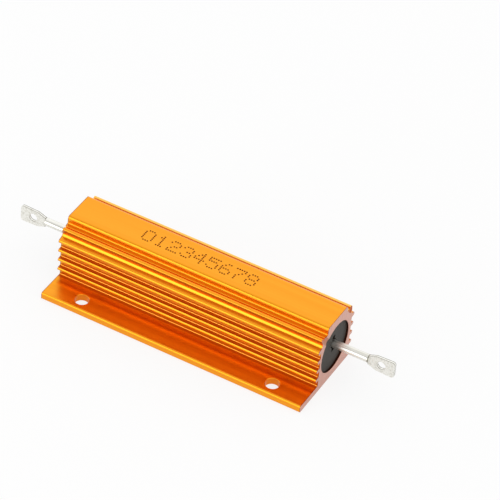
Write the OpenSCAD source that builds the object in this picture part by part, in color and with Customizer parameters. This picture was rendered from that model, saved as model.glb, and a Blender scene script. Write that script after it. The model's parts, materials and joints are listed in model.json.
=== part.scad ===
// Chassis-mount power resistor in a finned aluminium housing.
// X runs along the housing, +Y is away from the fixing flange and +Z is up.
// The origin is under the middle of the whole part, on the mounting face.

/* [Housing] */
// Length of the extruded housing
body_l = 90; // [60:1:130]
// Diameter of the bore that holds the resistor element
bore_d = 17; // [15:0.1:21]
// Metal below the bore, down to the mounting face
floor_t = 2.5; // [2.3:0.1:4]
// Metal above the bore, up to the flat top
roof_t = 3.3; // [2.8:0.1:5]
// Metal beside the bore, out to the floor of the grooves
wall_t = 1; // [0.7:0.05:2]

/* [Fins] */
// Fins on each side, below the rail
fin_count = 4; // [2:1:5]
// How far the fins stand out of the wall
fin_depth = 1.55; // [0.8:0.05:2.5]
// Thickness of a fin
fin_t = 1.2; // [0.8:0.05:1.5]
// Rounding of the fin tips
fin_tip_r = 0.57; // [0.1:0.01:0.57]
// Rounding in the corners of the grooves
groove_r = 0.2; // [0.05:0.01:0.3]

/* [Cap and rails] */
// Width of the flat top
cap_w = 12; // [9:0.1:12.4]
// Height of the flat top above the rails
cap_rise = 2.3; // [1.6:0.1:3]
// Rounding of the flat top's long edges
cap_r = 1; // [0.1:0.05:1.1]
// How much wider the cap is at its foot, on each side
cap_flare = 0.1; // [0:0.05:0.6]
// Width of the ledge at the foot of the cap
ledge_w = 1.6; // [0.8:0.1:2]
// Width of the narrow groove between ledge and rail
notch_w = 0.7; // [0.5:0.05:1.1]
// Depth of that groove below the top of the rail
notch_depth = 1; // [0.3:0.05:1.2]
// Width of the top of the rail
rail_w = 1.2; // [0.9:0.05:1.8]
// Height of the rail above the tip of the highest fin
rail_h = 3.6; // [3:0.1:4.2]
// Rounding of the rail's outer edge
rail_r = 0.6; // [0.1:0.05:0.8]

/* [Flange] */
// Width of the flange, from the groove floor to its free edge
flange_w = 10.55; // [8:0.05:14]
// Thickness of the flange
flange_t = 2.3; // [2:0.1:3.2]
// Rounding of the flange's upper edge
flange_edge_r = 0.55; // [0.1:0.05:0.9]
// Distance between the two fixing holes
hole_pitch = 66.3; // [40:0.1:80]
// Distance from the holes to the flange's free edge
hole_edge = 4.2; // [3.5:0.1:6]
// Diameter of the fixing holes
hole_d = 4.5; // [3:0.1:5]
// Chamfer round the top of the fixing holes
hole_chamfer = 0.15; // [0.1:0.05:0.5]

/* [End discs] */
// Thickness of the insulating discs
disc_t = 1.6; // [1:0.1:3]
// How far the discs sit below the housing's ends
disc_recess = 0.8; // [0.4:0.05:1.5]
// Chamfer round the ends of the bore
bore_chamfer = 0.2; // [0.1:0.05:0.4]
// Depth of the staking marks that lock the discs
stake_depth = 0.35; // [0.2:0.05:0.8]
// Radius of the staking tool's round edge
stake_r = 2.3; // [1.2:0.1:3]

/* [Terminals] */
// Diameter of the terminal's round shank
shank_d = 2.6; // [2:0.1:3.1]
// How far the terminals reach past the housing
terminal_reach = 20; // [15:0.5:30]
// Length of the flattened blade
blade_l = 8.8; // [7:0.1:12]
// Width of the blade at its tip
blade_w = 5.8; // [4.8:0.1:6.5]
// Width of the blade at its root
blade_root_w = 3.2; // [2.6:0.1:3.8]
// Thickness of the blade
blade_t = 0.9; // [0.6:0.05:1.2]
// Chamfer on the blade's outer corners
blade_chamfer = 0.9; // [0.3:0.05:1.3]
// How far the middle of the blade lies below the shank's axis
blade_drop = 0.3; // [0:0.05:0.5]
// Diameter of the solder eye
eye_d = 2.9; // [2:0.1:3]
// Distance from the blade's tip to the eye's centre
eye_edge = 4.4; // [3:0.1:5]
// Height of the left terminal above the bore's axis
rise_left = 0.1; // [-1:0.1:1.2]
// Height of the right terminal above the bore's axis
rise_right = 1.1; // [-1:0.1:1.2]

/* [Resistor element] */
// Diameter of the ceramic core
core_d = 9.6; // [8:0.1:10.5]
// Diameter of the resistance wire
wire_d = 0.5; // [0.3:0.05:0.6]
// Turns of wire
wire_turns = 20; // [10:1:22]
// Depth of the end ferrules
ferrule_l = 8; // [5:0.5:12]
// Wall thickness of the end ferrules
ferrule_t = 0.6; // [0.4:0.05:0.8]
// Space behind each disc
end_gap = 2; // [1:0.1:3]

/* [Clearances] */
// Gap round each piece that is pressed or moulded into place
fit = 0.04; // [0.02:0.01:0.1]
// Gap between the terminal and the sides of its hole and slot
slot_gap = 0.3; // [0.2:0.05:0.5]
// Gap between the blade's edges and the ends of its slot, as it passes through
slot_end_gap = 0.2; // [0.1:0.05:0.5]

/* [Hidden] */
$fn = 64;
arc_steps = 4;
through = 1;

// Housing section, measured from the bore's axis and from the mounting face
bore_r = bore_d / 2;
bore_z = floor_t + bore_r;
body_h = floor_t + bore_d + roof_t;
wall_reach = bore_r + wall_t;
fin_reach = wall_reach + fin_depth;
flange_reach = wall_reach + flange_w;
bore_y = (flange_reach - fin_reach) / 2;
rail_z = body_h - cap_rise;
fin_pitch = (rail_z - rail_h - flange_t) / fin_count;
notch_z = rail_z - notch_depth;
ledge_z = rail_z - notch_depth / 4;
cap_foot = cap_w / 2 + cap_flare;
ledge_reach = cap_foot + ledge_w;
notch_reach = ledge_reach + notch_w;
rail_reach = notch_reach + rail_w;
rail_lean = 0.75;
neck_reach = rail_reach - rail_lean;
neck_rise = 1.15;
shelf_reach = neck_reach + 0.45;
shelf_rise = 0.45;
groove_slope = 0.15;
foot_r = 0.15;

// Places along the housing
disc_x = body_l / 2 - disc_recess;
disc_back = disc_x - disc_t;
element_end = disc_back - end_gap;
blade_root = body_l / 2 + terminal_reach - blade_l;
shank_taper = 0.35;
blade_flare_l = 2.6;
blade_shoulder = 0.92;
blade_bend_r = 2.5;
hole_y = bore_y - flange_reach + hole_edge;
stake_angle = 43;
stake_far_start = wall_reach + 1.5;

// Resistor element
core_r = core_d / 2;
ferrule_r = core_r + fit + ferrule_t;
core_end = element_end - ferrule_t - fit;
wire_r = wire_d / 2;
wire_steps = 16;
wire_sides = 5;
wind_r = (core_r + wire_r + fit) / cos(180 / wire_steps);
wind_l = 2 * (element_end - ferrule_l - wire_d);
fill_r = wind_r + wire_r + fit;

function unit(v) = v / norm(v);

// Points of an arc that rounds corner b, between a and c
function round_corner(a, b, c, r) =
    let (to_a = unit(a - b),
         to_c = unit(c - b),
         half = acos(max(-1, min(1, to_a * to_c))) / 2,
         room = 0.48 * min(norm(a - b), norm(c - b)),
         radius = min(r, room * tan(half)))
    (radius < 0.01 || half > 89) ? [b] :
    let (centre = b + unit(to_a + to_c) * radius / sin(half),
         first = b + to_a * radius / tan(half) - centre,
         start = atan2(first[1], first[0]),
         turn = (to_a[0] * to_c[1] - to_a[1] * to_c[0] > 0 ? -1 : 1) * (180 - 2 * half))
    [for (i = [0:arc_steps])
        centre + radius * [cos(start + turn * i / arc_steps), sin(start + turn * i / arc_steps)]];

// An outline from corners given as [across, up, radius]
function round_outline(corners) =
    let (n = len(corners))
    [for (i = [0:n - 1])
        let (a = corners[(i + n - 1) % n],
             b = corners[i],
             c = corners[(i + 1) % n])
        each round_corner([a[0], a[1]], [b[0], b[1]], [c[0], c[1]], b[2])];

function fin_top(k) = flange_t + k * fin_pitch;

// The side of the section from the lowest groove up to the flat top
function side_corners() = [
    [wall_reach, flange_t, groove_r],
    for (k = [1:fin_count])
        each [[wall_reach, fin_top(k) - fin_t, groove_r],
              [fin_reach, fin_top(k) - fin_t, fin_tip_r],
              [fin_reach, fin_top(k), fin_tip_r],
              if (k < fin_count) [wall_reach, fin_top(k), groove_r]],
    [shelf_reach, fin_top(fin_count) + shelf_rise, 2 * groove_r],
    [neck_reach, fin_top(fin_count) + neck_rise, groove_r],
    [rail_reach, rail_z, rail_r],
    [notch_reach, rail_z, groove_r],
    [notch_reach - groove_slope, notch_z, groove_r],
    [ledge_reach + groove_slope, notch_z, groove_r],
    [ledge_reach, ledge_z, groove_r],
    [cap_foot, ledge_z, 2 * groove_r],
    [cap_w / 2, body_h, cap_r]];

function mirrored(corners) =
    let (n = len(corners))
    [for (i = [n - 1:-1:0]) [-corners[i][0], corners[i][1], corners[i][2]]];

function section() = round_outline(concat(
    [[fin_reach, 0, foot_r], [fin_reach, flange_t, fin_tip_r]],
    side_corners(),
    mirrored(side_corners()),
    [[-flange_reach, flange_t, flange_edge_r], [-flange_reach, 0, foot_r]]));

// Lays a part out along the bore's axis, at a distance from the middle
module on_axis(x = 0, rise = 0) {
    translate([x, bore_y, bore_z + rise])
        rotate([0, 90, 0])
            children();
}

// Repeats a part that is modelled for the right end at the end that is asked for
module at_end(side) {
    if (side > 0)
        children();
    else
        mirror([1, 0, 0])
            children();
}

module fixing_holes() {
    for (side = [-1, 1])
        translate([side * hole_pitch / 2, hole_y, 0]) {
            translate([0, 0, -through])
                cylinder(h = flange_t + 2 * through, d = hole_d);
            translate([0, 0, flange_t - hole_chamfer])
                cylinder(h = 2 * hole_chamfer, d1 = hole_d, d2 = hole_d + 4 * hole_chamfer);
        }
}

module bore_chamfers() {
    for (end = [-1, 1])
        at_end(end)
            on_axis(body_l / 2 - bore_chamfer)
                cylinder(h = 2 * bore_chamfer, d1 = bore_d, d2 = bore_d + 4 * bore_chamfer);
}

// Round-bottomed marks across the rails, which press the metal over the discs
module staking_marks() {
    for (end = [-1, 1], side = [-1, 1])
        translate([end * (body_l / 2 + stake_r - stake_depth), bore_y, bore_z])
            rotate([-side * stake_angle, 0, 0])
                translate([0, 0, side < 0 ? bore_r - through : stake_far_start])
                    cylinder(h = fin_reach, r = stake_r);
}

module housing() {
    color("orange")
        difference() {
            rotate([90, 0, 90])
                translate([bore_y, 0, -body_l / 2])
                    linear_extrude(height = body_l)
                        polygon(section());
            on_axis()
                cylinder(h = body_l + 2 * through, d = bore_d, center = true);
            bore_chamfers();
            fixing_holes();
            staking_marks();
        }
}

// The disc has a round hole for the shank, and a narrow slot across it for the blade
module end_disc(side, rise) {
    color([0.18, 0.17, 0.16])
        at_end(side)
            difference() {
                on_axis(disc_back)
                    cylinder(h = disc_t, r = bore_r - fit);
                on_axis(disc_back - through, rise)
                    cylinder(h = disc_t + 2 * through, d = shank_d + 2 * slot_gap);
                translate([disc_back + disc_t / 2, bore_y, bore_z + rise])
                    cube([disc_t + 2 * through, blade_t + 2 * slot_gap, blade_w + 2 * slot_end_gap],
                         center = true);
            }
}

// The blade's outline, from the shank out to the tip
function blade_corners() = [
    [0, -blade_root_w / 2, 0],
    [blade_flare_l, -blade_w * blade_shoulder / 2, blade_bend_r],
    [blade_l, -blade_w / 2, blade_chamfer],
    [blade_l, blade_w / 2, blade_chamfer],
    [blade_flare_l, blade_w * blade_shoulder / 2, blade_bend_r],
    [0, blade_root_w / 2, 0]];

module terminal(side, rise) {
    blade_z = bore_z + rise - blade_drop;
    color("gainsboro")
        at_end(side)
            difference() {
                union() {
                    on_axis(element_end, rise)
                        cylinder(h = blade_root - element_end, d = shank_d);
                    on_axis(blade_root, rise)
                        cylinder(h = shank_taper, d1 = shank_d, d2 = blade_t);
                    translate([blade_root, bore_y + blade_t / 2, blade_z])
                        rotate([90, 0, 0])
                            linear_extrude(height = blade_t)
                                polygon(round_outline(blade_corners()));
                }
                translate([blade_root + blade_l - eye_edge, bore_y, blade_z])
                    rotate([90, 0, 0])
                        cylinder(h = blade_t + 2 * through, d = eye_d, center = true);
            }
}

// Metal cup pressed over the end of the core
module ferrule(side) {
    color("silver")
        at_end(side)
            difference() {
                on_axis(element_end - ferrule_l)
                    cylinder(h = ferrule_l, r = ferrule_r);
                on_axis(element_end - ferrule_l - through)
                    cylinder(h = ferrule_l - ferrule_t + through, r = core_r + fit);
            }
}

module ceramic_core() {
    color("ivory")
        on_axis()
            cylinder(h = 2 * core_end, r = core_r, center = true);
}

// A ring of points round the wire at one place on its helix
function wire_ring(i) =
    let (turn = 360 * i / wire_steps,
         x = -wind_l / 2 + wind_l * i / (wire_turns * wire_steps))
    [for (j = [0:wire_sides - 1])
        let (a = 360 * j / wire_sides,
             r = wind_r + wire_r * cos(a))
        [x + wire_r * sin(a), bore_y + r * sin(turn), bore_z + r * cos(turn)]];

module resistance_wire() {
    rings = wire_turns * wire_steps;
    points = [for (i = [0:rings]) each wire_ring(i)];
    sides = [for (i = [0:rings - 1], j = [0:wire_sides - 1])
        let (k = (j + 1) % wire_sides)
        [i * wire_sides + j, (i + 1) * wire_sides + j, (i + 1) * wire_sides + k, i * wire_sides + k]];
    near_end = [for (j = [0:wire_sides - 1]) j];
    far_end = [for (j = [wire_sides - 1:-1:0]) rings * wire_sides + j];
    color("peru")
        polyhedron(points, concat(sides, [near_end, far_end]));
}

// Moulded filling between the element and the bore
module cement_filling() {
    color("lightgray")
        difference() {
            on_axis()
                cylinder(h = 2 * element_end, r = bore_r - fit, center = true);
            on_axis()
                cylinder(h = 2 * element_end + 2 * through, r = fill_r, center = true);
            for (side = [-1, 1])
                at_end(side)
                    on_axis(element_end - ferrule_l - fit)
                        cylinder(h = ferrule_l + through, r = ferrule_r + fit);
        }
}

housing();
end_disc(-1, rise_left);  // end_disc_left
end_disc(1, rise_right);  // end_disc_right
terminal(-1, rise_left);  // terminal_left
terminal(1, rise_right);  // terminal_right
ferrule(-1);  // ferrule_left
ferrule(1);  // ferrule_right
ceramic_core();
resistance_wire();
cement_filling();
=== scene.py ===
# %% [markdown]
# # A power resistor in a gold anodised housing
# The real object is a winding on a ceramic rod, cast into a finned aluminium
# housing that carries its heat away. Its shape already exists as a CAD model. This
# lesson loads the model as a fixed frame, sets up a camera and a plain studio, and
# gives every piece the finish that it has on the real object, with some painted
# light and shade on the housing, its marking and the terminals.
#
# The loaded pieces are never moved or reshaped: only their materials change. The
# pricked dots on the flat top are the one new thing that is modelled. One unit is
# one metre, so sizes are written as millimetres times MM.

# %% Load the model
import json
import math

import bmesh
import bpy
from mathutils import Euler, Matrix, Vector


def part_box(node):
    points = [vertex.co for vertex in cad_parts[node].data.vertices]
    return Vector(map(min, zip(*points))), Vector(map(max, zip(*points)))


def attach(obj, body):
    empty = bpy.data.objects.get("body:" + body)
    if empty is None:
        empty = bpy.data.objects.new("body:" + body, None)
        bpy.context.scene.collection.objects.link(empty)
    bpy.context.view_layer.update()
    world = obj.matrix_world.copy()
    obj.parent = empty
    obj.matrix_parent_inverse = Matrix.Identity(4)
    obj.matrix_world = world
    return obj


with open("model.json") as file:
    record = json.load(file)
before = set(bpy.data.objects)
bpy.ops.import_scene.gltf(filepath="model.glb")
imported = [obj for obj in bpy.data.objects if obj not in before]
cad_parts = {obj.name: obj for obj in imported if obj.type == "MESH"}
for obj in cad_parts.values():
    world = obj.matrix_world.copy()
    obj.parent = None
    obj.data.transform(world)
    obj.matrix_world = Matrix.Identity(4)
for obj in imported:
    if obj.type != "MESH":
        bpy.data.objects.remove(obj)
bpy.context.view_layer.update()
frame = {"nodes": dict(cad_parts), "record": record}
MM = 0.001
scene = bpy.context.scene

# %% [markdown]
# ## The camera
# A long lens far away keeps the long edges of the housing nearly parallel. A short
# lens close by would fill the frame as well, but would make the near end look too
# big. The camera looks down at about 41 degrees, from the fixing flange's side and
# a little from the right, and is tipped a few degrees so that the housing runs
# across the frame from corner to corner.

# %% Camera
CAMERA_PLACE = Vector((0.34707, -0.67793, 0.69482))
CAMERA_TURN = Euler([math.radians(angle) for angle in (48.846, -4.019, 29.522)])
LENS = 245.4
SENSOR_WIDTH = 36
CLIP_START = 0.05
CLIP_END = 20

camera_data = bpy.data.cameras.new("camera")
camera_data.lens = LENS
camera_data.sensor_width = SENSOR_WIDTH
camera_data.clip_start = CLIP_START
camera_data.clip_end = CLIP_END
camera = bpy.data.objects.new("camera", camera_data)
camera.location = CAMERA_PLACE
camera.rotation_euler = CAMERA_TURN
scene.collection.objects.link(camera)
scene.camera = camera

# %% [markdown]
# ## Helpers for materials
# Colours are written as hex values, the way they look on a screen. A renderer
# works with linear light, so one function converts them. Another one adds a node
# with its settings and links, which keeps each material short to read. The last
# two start a material and put it on the pieces that share it.

# %% Colours and nodes
def linear(hex_colour):
    """Turns a hex colour as seen on a screen into linear red, green, blue and alpha."""
    channels = [int(hex_colour[i:i + 2], 16) / 255 for i in (1, 3, 5)]
    steps = [c / 12.92 if c <= 0.04045 else ((c + 0.055) / 1.055) ** 2.4 for c in channels]
    return (*steps, 1.0)


def add(tree, kind, settings=None, **inputs):
    """Adds a node. Settings are its properties, and each input is a value or a socket to link.

    An input is named as on the node, with _ for a space, or by its number, as i0.
    """
    node = tree.nodes.new(kind)
    for name, value in (settings or {}).items():
        setattr(node, name, value)
    for name, value in inputs.items():
        key = int(name[1:]) if name[0] == "i" and name[1:].isdigit() else name.replace("_", " ")
        socket = node.inputs[key]
        if isinstance(value, bpy.types.NodeSocket):
            tree.links.new(value, socket)
        else:
            socket.default_value = value
    return node


print("Mid grey on a screen as linear light:", [round(c, 3) for c in linear("#808080")])


# %% Starting and giving a material
def new_material(name):
    """Makes an empty node material and returns it with its tree and its output node."""
    material = bpy.data.materials.new(name)
    material.use_nodes = True
    tree = material.node_tree
    tree.nodes.clear()
    return material, tree, tree.nodes.new("ShaderNodeOutputMaterial")


def finish_with(node_names, material):
    """Gives CAD nodes a material by putting it in their slots."""
    for name in node_names:
        node = frame["nodes"][name]
        for slot in node.material_slots:
            slot.material = material
        if not node.material_slots:
            node.data.materials.append(material)
    print(material.name, "on", ", ".join(node_names))


print("CAD nodes to finish:", ", ".join(sorted(frame["nodes"])))

# %% [markdown]
# ## The floor
# The object stands on white paper. White paper alone would render pale grey, and
# more light on it would bleach the object too. So to the camera, and less so in
# reflections, part of it is replaced by plain white that needs no light. The rest
# stays paper, which keeps a faint shadow. The floor lies a hair below the object,
# because two faces in one plane show as speckles.

# %% Floor
FLOOR_SIZE = 6
FLOOR_GAP = 0.1 * MM
WHITE_TO_CAMERA = 0.8
WHITE_IN_REFLECTIONS = 0.4


def floor_plane():
    """A flat square under the object."""
    mesh = bpy.data.meshes.new("floor")
    shape = bmesh.new()
    bmesh.ops.create_grid(shape, x_segments=1, y_segments=1, size=FLOOR_SIZE / 2)
    bmesh.ops.translate(shape, verts=list(shape.verts), vec=(0, 0, -FLOOR_GAP))
    shape.to_mesh(mesh)
    shape.free()
    floor = bpy.data.objects.new("floor", mesh)
    scene.collection.objects.link(floor)
    return floor


def white_paper():
    """Matt white paper, of which a share is shown as plain white."""
    material, tree, output = new_material("white_paper_floor")
    path = add(tree, "ShaderNodeLightPath")
    mirrored = add(tree, "ShaderNodeMath", {"operation": "MULTIPLY"},
                   i0=path.outputs["Is Glossy Ray"], i1=WHITE_IN_REFLECTIONS)
    share = add(tree, "ShaderNodeMath", {"operation": "MULTIPLY_ADD"},
                i0=path.outputs["Is Camera Ray"], i1=WHITE_TO_CAMERA, i2=mirrored.outputs[0])
    paper = add(tree, "ShaderNodeBsdfDiffuse", Color=linear("#FFFFFF"))
    white = add(tree, "ShaderNodeEmission", Color=linear("#FFFFFF"), Strength=1.0)
    mixed = add(tree, "ShaderNodeMixShader", i0=share.outputs[0], i1=paper.outputs[0],
                i2=white.outputs[0])
    tree.links.new(mixed.outputs[0], output.inputs["Surface"])
    return material


floor_plane().data.materials.append(white_paper())
print("Floor side in m:", FLOOR_SIZE, "and its gap below the object in mm:", FLOOR_GAP / MM)

# %% [markdown]
# ## The room
# A polished extrusion shows whatever stands in front of each of its faces, so the
# room matters as much as the lamps. It is white all round, and to the camera it is
# plain white. One part of it, high in front, is dimmer. The grooves between the
# fins throw that part back, so they look deep. A dark card in a real studio does
# the same, but a card here would be one more thing to keep out of other views.

# %% Room
ROOM_LIGHT = 0.95
DIM_HEADING = (-0.33, -0.68, 0.66)
DIM_LEVEL = 0.68
DIM_EDGE_ANGLE = math.radians(38)
DIM_CORE_ANGLE = math.radians(18)


def white_room():
    """An even white world with one dimmer part, which the camera itself never sees."""
    world = bpy.data.worlds.new("white_room")
    world.use_nodes = True
    tree = world.node_tree
    tree.nodes.clear()
    path = add(tree, "ShaderNodeLightPath")
    seen = add(tree, "ShaderNodeMath", {"operation": "MAXIMUM"},
               i0=path.outputs["Is Camera Ray"], i1=path.outputs["Is Glossy Ray"])
    seen = add(tree, "ShaderNodeMath", {"operation": "MAXIMUM"},
               i0=seen.outputs[0], i1=path.outputs["Is Transmission Ray"])
    level = add(tree, "ShaderNodeMapRange", Value=seen.outputs[0], To_Min=ROOM_LIGHT, To_Max=1.0)
    heading = add(tree, "ShaderNodeTexCoord").outputs["Generated"]
    towards = add(tree, "ShaderNodeVectorMath", {"operation": "DOT_PRODUCT"},
                  i0=heading, i1=DIM_HEADING)
    dim = add(tree, "ShaderNodeMapRange", {"interpolation_type": "SMOOTHSTEP"},
              Value=towards.outputs["Value"], From_Min=math.cos(DIM_EDGE_ANGLE),
              From_Max=math.cos(DIM_CORE_ANGLE), To_Min=1.0, To_Max=DIM_LEVEL)
    dim = add(tree, "ShaderNodeMath", {"operation": "MAXIMUM"},
              i0=dim.outputs[0], i1=path.outputs["Is Camera Ray"])
    level = add(tree, "ShaderNodeMath", {"operation": "MULTIPLY"},
                i0=level.outputs[0], i1=dim.outputs[0])
    room = add(tree, "ShaderNodeBackground", Color=linear("#FFFFFF"), Strength=level.outputs[0])
    add(tree, "ShaderNodeOutputWorld", Surface=room.outputs[0])
    return world


scene.world = white_room()
scene.view_settings.view_transform = "Standard"
print("Room light:", ROOM_LIGHT, "and in its dimmer part:", round(ROOM_LIGHT * DIM_LEVEL, 2))

# %% [markdown]
# ## The lamps
# A wide soft lamp low in front is mirrored by every rounded edge of the extrusion,
# as light lines that run along the housing. A very weak one high behind lifts the
# edges on the far side. A lamp is described by how bright its face is, not by its
# power, so that its size can change without a change in its reflection.

# %% Lamps
OBJECT_MIDDLE = (0, 0, 0.01)


def soft_lamp(name, place, size, radiance):
    """A square lamp that faces the object. Its power follows from its size and brightness."""
    data = bpy.data.lights.new(name, "AREA")
    data.shape = "SQUARE"
    data.size = size
    data.energy = radiance * math.pi * size * size
    lamp = bpy.data.objects.new(name, data)
    lamp.location = place
    aim = Vector(OBJECT_MIDDLE) - Vector(place)
    lamp.rotation_euler = aim.to_track_quat("-Z", "Y").to_euler()
    scene.collection.objects.link(lamp)
    print(name, "power in W:", round(data.energy, 2))


soft_lamp("lamp_front", (-0.28, -0.72, 0.2), size=0.36, radiance=2.4)
soft_lamp("lamp_behind", (-0.265, 0.545, 0.53), size=0.6, radiance=0.08)

# %% [markdown]
# ## Gold anodised aluminium: its measures
# The housing is an aluminium extrusion, anodised and dyed golden orange, then
# sawn to length. One length of it carries several finishes: drawn gold, a redder
# gold in its drilled holes, bare sawn ends, a thin darker line beside them and
# struck marks. Painted light and shade is laid over them: painted shade on the
# fins' flanks and the rails' sides, in the bore and in the punch marks, and painted
# highlights on the groove floors and behind the cap. They could be painted on by
# hand, but their borders follow the shape exactly, so each is worked out from the
# place on the housing.
#
# That needs the shape's main measures. Most are read from the model. The profile's
# own steps are written here, from the bore's axis out to the side, or up.

# %% Measures of the housing
disc_low, disc_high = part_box("end_disc_left")
BORE_Y = (disc_low.y + disc_high.y) / 2
BORE_Z = (disc_low.z + disc_high.z) / 2
DISC_PLAY = 0.04 * MM
BORE_R = (disc_high.z - disc_low.z) / 2 + DISC_PLAY
HALF_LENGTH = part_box("housing")[1].x
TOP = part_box("housing")[1].z
holes = next(mount for mount in frame["record"]["mounts"] if mount["name"] == "fixing_holes")
HOLE_Y = holes["pos_m"][1]
HOLE_PITCH = holes["dims"]["spacing_x_mm"] * MM
HOLE_R = holes["dims"]["hole_r_mm"] * MM
CAP_REACH = 6 * MM
WALL_REACH = 9.5 * MM
FIN_REACH = 11.05 * MM
RAIL_HEIGHT = TOP - 2.3 * MM - BORE_Z
FINS_HEIGHT = RAIL_HEIGHT - 3.9 * MM
print("Bore radius in mm:", round(BORE_R / MM, 2), "and half length:", round(HALF_LENGTH / MM, 2))

# %% [markdown]
# ## Places and zones
# A finish needs to know where a point lies: how far from the middle along the
# housing, how far out to the side, how high, and how far from the bore's axis. The
# housing's two sides and two ends are alike, so the distances along and out are
# taken without their sign. A zone is then a set of limits on these, and a finish
# is laid over the ones before it wherever its zone says 1. The terminals lie on the
# same axis, so they use the same places.

# %% Places and zones
def measured(tree):
    """Sockets that say where a point is, measured from the middle of the bore's axis."""
    at = {"object": add(tree, "ShaderNodeTexCoord").outputs["Object"]}
    centred = add(tree, "ShaderNodeMapping", Vector=at["object"], Location=(0, -BORE_Y, -BORE_Z))
    axes = add(tree, "ShaderNodeSeparateXYZ", Vector=centred.outputs[0])
    at["y"], at["z"] = axes.outputs["Y"], axes.outputs["Z"]
    for name, axis in (("along", "X"), ("out", "Y")):
        distance = add(tree, "ShaderNodeMath", {"operation": "ABSOLUTE"}, i0=axes.outputs[axis])
        at[name] = distance.outputs[0]
    across = add(tree, "ShaderNodeVectorMath", {"operation": "MULTIPLY"},
                 i0=centred.outputs[0], i1=(0, 1, 1))
    radius = add(tree, "ShaderNodeVectorMath", {"operation": "LENGTH"}, i0=across.outputs[0])
    at["radius"] = radius.outputs["Value"]
    return at


def zone(tree, *limits):
    """A mask that is 1 where all limits hold. Each is a socket, above or below, and a value."""
    mask = None
    for socket, side, value in limits:
        operation = {"above": "GREATER_THAN", "below": "LESS_THAN"}[side]
        test = add(tree, "ShaderNodeMath", {"operation": operation}, i0=socket, i1=value)
        if mask is not None:
            test = add(tree, "ShaderNodeMath", {"operation": "MULTIPLY"},
                       i0=mask, i1=test.outputs[0])
        mask = test.outputs[0]
    return mask


print("Rail height above the bore's axis in mm:", round(RAIL_HEIGHT / MM, 2))

# %% [markdown]
# ## Gold with the die's lines
# The die draws fine lines along an extrusion, and broader bands where the metal
# flowed faster. The dye takes a little darker in them. Noise that is stretched
# along the housing gives both. Real die lines lie closer than a tenth of a
# millimetre. They are drawn 0.4 mm apart, because finer ones wouldn't show.

# %% Drawn gold
DIE_LINE = 0.4 * MM
DIE_LINE_RUN = 250 * MM
DIE_BAND = 2 * MM
DIE_BAND_RUN = 333 * MM


def drawn_gold(tree, at):
    """The base gold, and the die lines' height."""
    lines_place = add(tree, "ShaderNodeMapping", Vector=at["object"],
                      Scale=(1 / DIE_LINE_RUN, 1 / DIE_LINE, 1 / DIE_LINE))
    lines = add(tree, "ShaderNodeTexNoise", Vector=lines_place.outputs[0], Scale=1.0, Detail=2.0)
    bands_place = add(tree, "ShaderNodeMapping", Vector=at["object"],
                      Scale=(1 / DIE_BAND_RUN, 1 / DIE_BAND, 1 / DIE_BAND))
    bands = add(tree, "ShaderNodeTexNoise", Vector=bands_place.outputs[0], Scale=1.0, Detail=1.0)
    both = add(tree, "ShaderNodeMath", {"operation": "ADD"},
               i0=lines.outputs["Fac"], i1=bands.outputs["Fac"])
    tone = add(tree, "ShaderNodeMapRange", Value=both.outputs[0], From_Min=0.75, From_Max=1.25)
    gold = add(tree, "ShaderNodeMix", {"data_type": "RGBA"}, i0=tone.outputs[0],
               i6=linear("#F99E10"), i7=linear("#FEA61A"))
    return gold.outputs[2], lines.outputs["Fac"]


print("Die lines across one fin:", round((FIN_REACH - WALL_REACH) / DIE_LINE, 1))

# %% [markdown]
# ## Painted shade and light in the grooves
# Colour stands in for light and shade on the finned part. The fins' flanks and the
# rails' outer sides are painted a deeper red, as painted shade. The groove floors
# are painted a paler gold, as a painted highlight, and the narrow groove on the far
# side of the cap paler still, as painted light. One even gold would leave the fins
# flat, because much of what sets them apart is this difference. Each zone follows
# the profile, with borders that are measured from the fins' tips, the groove floors
# or the rails' tops.

# %% Painted shade and light in the grooves
FLANK_FADE_START = 0.1 * MM
FLANK_FADE_END = 0.5 * MM
FLOOR_BORDER = 0.15 * MM
RAIL_SIDE_TOP = 0.4 * MM
RAIL_SIDE_FOOT = 2.2 * MM
RAIL_SIDE_WIDTH = 0.8 * MM
BEHIND_CAP_TOP = 0.6 * MM
BEHIND_CAP_FOOT = 1.2 * MM


def groove_shade_and_light(tree, at):
    """The layers of painted shade and painted light that follow the profile, with their zones."""
    fins = zone(tree, (at["z"], "below", FINS_HEIGHT))
    fade = add(tree, "ShaderNodeMapRange", {"interpolation_type": "SMOOTHSTEP"},
               Value=at["out"], From_Min=FIN_REACH - FLANK_FADE_START,
               From_Max=FIN_REACH - FLANK_FADE_END, To_Min=0.0, To_Max=1.0)
    # Painted shade: a deeper red down the fins' flanks, fading out towards their tips
    flanks = add(tree, "ShaderNodeMath", {"operation": "MULTIPLY"}, i0=fade.outputs[0], i1=fins)
    # Painted highlight: a paler gold on the groove floors
    floors = zone(tree, (at["out"], "below", WALL_REACH + FLOOR_BORDER),
                  (at["z"], "below", FINS_HEIGHT))
    # Painted shade: a deeper red on the rails' outer sides
    rail_side_shade = zone(tree, (at["z"], "above", RAIL_HEIGHT - RAIL_SIDE_FOOT),
                      (at["z"], "below", RAIL_HEIGHT - RAIL_SIDE_TOP),
                      (at["out"], "above", WALL_REACH - RAIL_SIDE_WIDTH))
    # Painted light: a paler gold in the groove on the far side of the cap
    behind_cap_light = zone(tree, (at["y"], "above", CAP_REACH), (at["y"], "below", WALL_REACH),
                      (at["z"], "below", RAIL_HEIGHT + BEHIND_CAP_TOP),
                      (at["z"], "above", RAIL_HEIGHT - BEHIND_CAP_FOOT))
    return [(flanks.outputs[0], linear("#CC6400")), (floors, linear("#FAB038")),
            (rail_side_shade, linear("#C87414")), (behind_cap_light, linear("#FFC85A"))]


print("Groove depth between the fins in mm:", round((FIN_REACH - WALL_REACH) / MM, 2))

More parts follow.
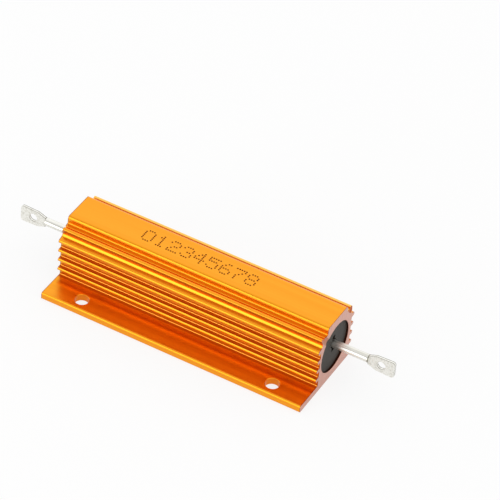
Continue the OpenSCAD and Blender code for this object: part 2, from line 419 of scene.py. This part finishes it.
# %% [markdown]
# ## Colour and painted shade in the holes and at the ends
# The walls of the drilled holes are a redder gold. The bore is painted dark brown,
# as painted shade inside it. A thin darker line runs beside each sawn end. To lock
# the disc in, a punch strikes each end at two places, along lines that slant up
# from the bore across the rails. Its marks are painted dark reddish brown, as
# painted shade in their hollows. A round zone needs the distance from a hole's
# axis, and a slanted one the distance from the line of the punch.

# %% Colour and painted shade in the holes and at the ends
# A zone is a hair wider than a hole, because the model's round walls are made of flats
HOLE_MARGIN = 0.03 * MM
BORE_MARGIN = 0.05 * MM
END_LINE_WIDTH = 0.2 * MM
PUNCH_ANGLE = math.radians(43)
PUNCH_HALF_WIDTH = 1.25 * MM
PUNCH_REACH = 0.36 * MM


def drilled_and_struck(tree, at):
    """The layers of colour in the drilled holes and beside the saw cuts, and of painted shade in
    the punch marks and the bore.
    """
    hole_x = add(tree, "ShaderNodeMath", {"operation": "SUBTRACT"},
                 i0=at["along"], i1=HOLE_PITCH / 2)
    hole_y = add(tree, "ShaderNodeMath", {"operation": "SUBTRACT"},
                 i0=at["y"], i1=HOLE_Y - BORE_Y)
    hole_place = add(tree, "ShaderNodeCombineXYZ", X=hole_x.outputs[0], Y=hole_y.outputs[0])
    hole_radius = add(tree, "ShaderNodeVectorMath", {"operation": "LENGTH"},
                      i0=hole_place.outputs[0])
    drilled = zone(tree, (hole_radius.outputs["Value"], "below", HOLE_R + HOLE_MARGIN))
    # A thin darker line beside each sawn end
    end_line = zone(tree, (at["along"], "above", HALF_LENGTH - END_LINE_WIDTH))
    outward = add(tree, "ShaderNodeCombineXYZ", Y=at["out"], Z=at["z"])
    beside = add(tree, "ShaderNodeVectorMath", {"operation": "DOT_PRODUCT"},
                 i0=outward.outputs[0], i1=(0, math.cos(PUNCH_ANGLE), -math.sin(PUNCH_ANGLE)))
    beside = add(tree, "ShaderNodeMath", {"operation": "ABSOLUTE"}, i0=beside.outputs["Value"])
    # Painted shade: the punch marks are painted dark reddish brown
    punch_shade = zone(tree, (beside.outputs[0], "below", PUNCH_HALF_WIDTH),
                  (at["along"], "above", HALF_LENGTH - PUNCH_REACH))
    # Painted shade: the bore is painted dark brown
    bore = zone(tree, (at["radius"], "below", BORE_R + BORE_MARGIN))
    return [(drilled, linear("#F68C10")), (end_line, linear("#B4671E")),
            (punch_shade, linear("#B85A22")), (bore, linear("#6A2A0C"))]


print("Punch marks in mm:", round(2 * PUNCH_HALF_WIDTH / MM, 2), "wide and",
      round(PUNCH_REACH / MM, 2), "deep")

# %% [markdown]
# ## Bare sawn ends
# The housing is sawn to length and its bore is chamfered after dyeing, so both
# show bare aluminium. Next to so much gold it looks pale and slightly pink, and
# its two shades are chosen for that. The saw leaves upright scratches and a duller
# surface than the die does. The scratches are drawn as coarse as the die lines, so
# that they show. The thin chamfer could be left gold, but a bright ring round the
# dark disc is one of the first things that the eye finds on such an end.

# %% Sawn metal
SAW_SCRATCH = 0.4 * MM
SAW_SCRATCH_LENGTH = 16.7 * MM
CUT_DEPTH = 0.02 * MM
CHAMFER_DEPTH = 0.19 * MM
CHAMFER_WIDTH = 0.21 * MM


def sawn_ends(tree, at):
    """The zone of bare metal, its colour, and the height of its scratches."""
    place = add(tree, "ShaderNodeMapping", Vector=at["object"],
                Scale=(1 / DIE_LINE_RUN, 1 / SAW_SCRATCH, 1 / SAW_SCRATCH_LENGTH))
    scratches = add(tree, "ShaderNodeTexNoise", Vector=place.outputs[0], Scale=1.0, Detail=3.0)
    colour = add(tree, "ShaderNodeMix", {"data_type": "RGBA"}, i0=scratches.outputs["Fac"],
                 i6=linear("#CC9888"), i7=linear("#E4B6A6"))
    sawn = zone(tree, (at["along"], "above", HALF_LENGTH - CUT_DEPTH))
    chamfer = zone(tree, (at["radius"], "below", BORE_R + CHAMFER_WIDTH),
                   (at["along"], "above", HALF_LENGTH - CHAMFER_DEPTH))
    bare = add(tree, "ShaderNodeMath", {"operation": "MAXIMUM"}, i0=sawn, i1=chamfer)
    return bare.outputs[0], colour.outputs[2], scratches.outputs["Fac"]


print("Chamfer of the bore in mm:", round(CHAMFER_WIDTH / MM, 2))

# %% [markdown]
# ## The whole finish
# Anodising grows a clear glassy film on the metal and the dye sits in it. So the
# surface is a coloured satin mirror under a thin dull coat, and light that bounces
# twice between the fins comes back a deeper red. The renderer finds that, as long
# as the metal is rendered as metal, and painted shade and painted highlights in the
# grooves, the bore and the punch marks are laid over it.

# %% Gold anodised aluminium
SATIN_ROUGHNESS = 0.28
SAWN_ROUGHNESS = 0.5
RELIEF_DEPTH = 0.02 * MM


def gold_anodised():
    """Anodised aluminium, dyed gold: the eye sees a golden satin mirror, redder in its grooves
    from bounced light and from painted shade.
    """
    material, tree, output = new_material("anodised_aluminium_gold")
    at = measured(tree)
    colour, lines = drawn_gold(tree, at)
    bare, sawn_colour, scratches = sawn_ends(tree, at)
    layers = groove_shade_and_light(tree, at) + drilled_and_struck(tree, at) + [(bare, sawn_colour)]
    for mask, over in layers:
        mixed = add(tree, "ShaderNodeMix", {"data_type": "RGBA"}, i0=mask, i6=colour, i7=over)
        colour = mixed.outputs[2]
    rough = add(tree, "ShaderNodeMapRange", Value=bare, To_Min=SATIN_ROUGHNESS,
                To_Max=SAWN_ROUGHNESS)
    height = add(tree, "ShaderNodeMix", i0=bare, i2=lines, i3=scratches)
    relief = add(tree, "ShaderNodeBump", Height=height.outputs[0], Strength=0.15,
                 Distance=RELIEF_DEPTH)
    metal = add(tree, "ShaderNodeBsdfPrincipled", Base_Color=colour, Metallic=1.0,
                Roughness=rough.outputs[0], Normal=relief.outputs[0], Coat_Weight=0.3,
                Coat_Roughness=0.25)
    tree.links.new(metal.outputs[0], output.inputs["Surface"])
    return material


finish_with(["housing"], gold_anodised())

# %% [markdown]
# ## The marking: one dot
# Real housings carry a line of characters on the flat top, pricked into the skin
# dot by dot with a marking pin. Each dot is a small pit with a raised rim. The
# dots could be a pattern in the material, but a pit and its rim catch the light
# properly only as shapes. So one dot is made with a few modelling steps: a circle
# is raised to a low boss, and its top is inset twice, the second time downwards.
# The dot is repeated more than a hundred times, so it has few sides.

# %% One pricked dot
DOT_R = 0.3 * MM
DOT_SIDES = 10
DOT_RISE = 0.04 * MM
PIT_DEPTH = 0.8 * DOT_RISE
RIM_WIDTH = 0.03 * MM
RIM_SLOPE = 0.02 * MM


def pricked_dot():
    """One dot: a low round boss whose middle is pressed back down."""
    dot = bmesh.new()
    bmesh.ops.create_circle(dot, cap_ends=True, segments=DOT_SIDES, radius=DOT_R)
    grown = bmesh.ops.extrude_face_region(dot, geom=list(dot.faces))
    raised = [part for part in grown["geom"] if isinstance(part, bmesh.types.BMVert)]
    bmesh.ops.translate(dot, verts=raised, vec=(0, 0, DOT_RISE))
    top = [face for face in dot.faces if face.calc_center_median().z > 0.9 * DOT_RISE]
    bmesh.ops.inset_region(dot, faces=top, thickness=RIM_WIDTH)
    bmesh.ops.inset_region(dot, faces=top, thickness=RIM_SLOPE, depth=-PIT_DEPTH)
    bmesh.ops.recalc_face_normals(dot, faces=list(dot.faces))
    mesh = bpy.data.meshes.new("dot")
    dot.to_mesh(mesh)
    dot.free()
    return mesh


dot_mesh = pricked_dot()
print("Faces in one dot:", len(dot_mesh.polygons))

# %% [markdown]
# ## The marking: the line of digits
# A marking machine places its dots on a grid, five wide and seven high for each
# character. The grid is written out below, with a 1 for each dot. The line here is
# plain digits, which say nothing about the part. All the dots are put in one mesh,
# because they are one marking.

# %% The digits' grids
DIGITS = {
    "0": "01110 10001 10001 10001 10001 10001 01110",
    "1": "00100 01100 00100 00100 00100 00100 01110",
    "2": "01110 10001 00001 00110 01000 10000 11111",
    "3": "01110 10001 00001 00110 00001 10001 01110",
    "4": "00010 00110 01010 10010 11111 00010 00010",
    "5": "11111 10000 11110 00001 00001 10001 01110",
    "6": "00110 01000 10000 11110 10001 10001 01110",
    "7": "11111 00001 00010 00100 01000 01000 01000",
    "8": "01110 10001 10001 01110 10001 10001 01110",
}
COLUMN_STEP = 0.78 * MM
ROW_STEP = 0.75 * MM
MIDDLE_ROW = 3
DIGIT_STEP = 4.45 * MM
FIRST_DIGIT_X = -21.7 * MM
print("Digit height in mm:", round(2 * MIDDLE_ROW * ROW_STEP / MM, 2))


# %% The line of digits
def marked_line(text):
    """Copies the dot to every place of a line of digits, along the middle of the top."""
    marks = bmesh.new()
    for place, character in enumerate(text):
        for row, dots in enumerate(DIGITS[character].split()):
            for column in [i for i, dot in enumerate(dots) if dot == "1"]:
                before = len(marks.verts)
                marks.from_mesh(dot_mesh)
                marks.verts.ensure_lookup_table()
                bmesh.ops.translate(marks, verts=marks.verts[before:], vec=(
                    FIRST_DIGIT_X + place * DIGIT_STEP + column * COLUMN_STEP,
                    BORE_Y + (MIDDLE_ROW - row) * ROW_STEP, TOP))
    mesh = bpy.data.meshes.new("marked_digits")
    marks.to_mesh(mesh)
    marks.free()
    piece = bpy.data.objects.new("marked_digits", mesh)
    scene.collection.objects.link(piece)
    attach(piece, "root")
    return piece


digits = marked_line("012345678")
print("Faces in the marking:", len(digits.data.polygons))

# %% [markdown]
# ## Pricked gold
# The pin breaks through the gold skin and scorches it, so each pit is dark brown.
# Its rim is the same gold, painted a little paler as a painted reflection on the
# raised lip. The height above the top tells the rim from the pit, so one material
# does for both.

# %% Pricked gold
PIT_GRAIN = 0.2 * MM


def pricked_gold():
    """Pricked anodised aluminium: the eye sees a dark brown spot with a thin rim, painted lighter
    as a painted reflection.
    """
    material, tree, output = new_material("pricked_anodised_aluminium")
    place = add(tree, "ShaderNodeTexCoord").outputs["Object"]
    height = add(tree, "ShaderNodeSeparateXYZ", Vector=place)
    rim = add(tree, "ShaderNodeMapRange", Value=height.outputs["Z"],
              From_Min=TOP + DOT_RISE - 0.75 * PIT_DEPTH, From_Max=TOP + DOT_RISE)
    grains = add(tree, "ShaderNodeTexNoise", Vector=place, Scale=1 / PIT_GRAIN, Detail=2.0)
    pit = add(tree, "ShaderNodeMix", {"data_type": "RGBA"}, i0=grains.outputs["Fac"],
              i6=linear("#4A1400"), i7=linear("#6A2002"))
    # Painted reflection: the rim is painted a paler gold than the top
    colour = add(tree, "ShaderNodeMix", {"data_type": "RGBA"}, i0=rim.outputs[0],
                 i6=pit.outputs[2], i7=linear("#F8A838"))
    metal = add(tree, "ShaderNodeBsdfPrincipled", Base_Color=colour.outputs[2], Metallic=1.0,
                Roughness=0.4)
    tree.links.new(metal.outputs[0], output.inputs["Surface"])
    return material


digits.data.materials.append(pricked_gold())
print("Materials on the marking:", [material.name for material in digits.data.materials])

# %% [markdown]
# ## The insulating discs
# A thin disc closes each end of the bore and keeps the terminal off the housing.
# It is moulded from phenolic resin: nearly black, with a slight warm tint and a
# matt skin, so it shows no sharp reflections. A single flat colour would look like
# a hole, so a fine grain varies its shade and its height. The pieces inside the
# housing are also one substance with a grain each, and take the same recipe.

# %% Moulded phenolic
GRAIN_DEPTH = 0.05 * MM


def grained(name, dark, light, grain_mm, metallic, roughness):
    """One substance throughout: two close shades of it, mixed by a grain of a real size."""
    material, tree, output = new_material(name)
    place = add(tree, "ShaderNodeTexCoord").outputs["Object"]
    grains = add(tree, "ShaderNodeTexNoise", Vector=place, Scale=1 / (grain_mm * MM), Detail=3.0)
    colour = add(tree, "ShaderNodeMix", {"data_type": "RGBA"}, i0=grains.outputs["Fac"],
                 i6=linear(dark), i7=linear(light))
    relief = add(tree, "ShaderNodeBump", Height=grains.outputs["Fac"], Strength=0.2,
                 Distance=GRAIN_DEPTH)
    body = add(tree, "ShaderNodeBsdfPrincipled", Base_Color=colour.outputs[2], Metallic=metallic,
               Roughness=roughness, Normal=relief.outputs[0])
    tree.links.new(body.outputs[0], output.inputs["Surface"])
    return material


# Moulded phenolic: the eye sees an almost black, dull, very slightly mottled face
finish_with(["end_disc_left", "end_disc_right"],
            grained("moulded_phenolic", "#1E1A10", "#2A251B", 0.4, metallic=0.0, roughness=0.6))

# %% [markdown]
# ## The tinned terminals
# Each terminal starts as a round brass wire. Its end is pressed flat to a blade,
# an eye is punched in it, and the whole is dipped in molten tin. Tin is a nearly
# white metal with a soft mirror. The round shank keeps faint lines from drawing,
# and the press leaves shallow dents on the blade. The tin is painted greyer where
# these sink, as painted shade. A plain bright metal would lose its outline against
# a white floor, so the sheared rim and the line where the blade begins are painted
# grey, as painted shade.

# %% Hot-tinned brass
BLADE_LENGTH = 8.8 * MM
BLADE_THICKNESS = 0.9 * MM
BLADE_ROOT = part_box("terminal_right")[1].x - BLADE_LENGTH
ROOT_LINE = 0.13 * MM
RIM_OUTER = 0.01 * MM
RIM_INNER = 0.2 * MM
DENT = 0.7 * MM
DENT_DEPTH = 0.05 * MM
DRAWN_LINE = 0.556 * MM
DRAWN_LINE_RUN = 16.7 * MM


def tin_colour(tree, at, height):
    """Bright tin, with painted shade: greyer in its dents, at the blade's root and on its sheared
    rim.
    """
    # Painted shade: the tin is painted greyer where the relief sinks, in dents and drawn lines
    tone = add(tree, "ShaderNodeMapRange", Value=height, From_Min=0.3, From_Max=0.55)
    tin = add(tree, "ShaderNodeMix", {"data_type": "RGBA"}, i0=tone.outputs[0],
              i6=linear("#DAD8CE"), i7=linear("#F4F3EC"))
    root = zone(tree, (at["along"], "above", BLADE_ROOT - ROOT_LINE),
                (at["along"], "below", BLADE_ROOT + ROOT_LINE))
    rim = zone(tree, (at["out"], "below", BLADE_THICKNESS / 2 - RIM_OUTER),
               (at["out"], "above", BLADE_THICKNESS / 2 - RIM_INNER),
               (at["along"], "above", BLADE_ROOT))
    # Painted shade: the blade's root line and its sheared rim are painted grey, as an outline
    for mask, over in ((root, linear("#A09C90")), (rim, linear("#8E8B82"))):
        tin = add(tree, "ShaderNodeMix", {"data_type": "RGBA"}, i0=mask, i6=tin.outputs[2],
                  i7=over)
    return tin.outputs[2]


def tinned():
    """Hot-tinned brass: the eye sees a white, slightly uneven mirror, with painted shade in its
    dents and as a grey outline.
    """
    material, tree, output = new_material("hot_tinned_brass")
    at = measured(tree)
    blade = zone(tree, (at["along"], "above", BLADE_ROOT))
    dents = add(tree, "ShaderNodeTexNoise", Vector=at["object"], Scale=1 / DENT, Detail=3.0)
    drawn_place = add(tree, "ShaderNodeMapping", Vector=at["object"],
                      Scale=(1 / DRAWN_LINE_RUN, 1 / DRAWN_LINE, 1 / DRAWN_LINE))
    drawn = add(tree, "ShaderNodeTexNoise", Vector=drawn_place.outputs[0], Scale=1.0, Detail=2.0)
    height = add(tree, "ShaderNodeMix", i0=blade, i2=drawn.outputs["Fac"], i3=dents.outputs["Fac"])
    relief = add(tree, "ShaderNodeBump", Height=height.outputs[0], Strength=0.3,
                 Distance=DENT_DEPTH)
    colour = tin_colour(tree, at, height.outputs[0])
    metal = add(tree, "ShaderNodeBsdfPrincipled", Base_Color=colour, Metallic=1.0,
                Roughness=0.3, Normal=relief.outputs[0])
    tree.links.new(metal.outputs[0], output.inputs["Surface"])
    return material


finish_with(["terminal_left", "terminal_right"], tinned())

# %% [markdown]
# ## The pieces inside the housing
# Nothing of these shows while the resistor is whole, but each has its finish, so
# that the object can be opened or cut. The caps on the core's ends are pressed
# from steel sheet, the core is a fired ceramic rod, the winding is a drawn wire of
# resistance alloy, and a cement with fine sand is cast round it all.

# %% Finishes of the inner pieces
# Pressed steel: the eye sees a grey metal with a satin shine
finish_with(["ferrule_left", "ferrule_right"],
            grained("pressed_steel", "#A8A8A8", "#C0C0C0", 0.5, metallic=1.0, roughness=0.35))
# Fired ceramic: an off-white, half matt stone
finish_with(["ceramic_core"],
            grained("fired_ceramic", "#E8E2D4", "#F4F0E6", 0.5, metallic=0.0, roughness=0.5))
# Drawn resistance alloy: a brownish grey wire with a soft shine
finish_with(["resistance_wire"],
            grained("drawn_resistance_alloy", "#8C7A66", "#A89880", 0.3, metallic=1.0,
                    roughness=0.35))
# Cast cement: pale grey, dull and sandy
finish_with(["cement_filling"],
            grained("cast_cement", "#9C9A94", "#B4B2AC", 0.3, metallic=0.0, roughness=0.8))
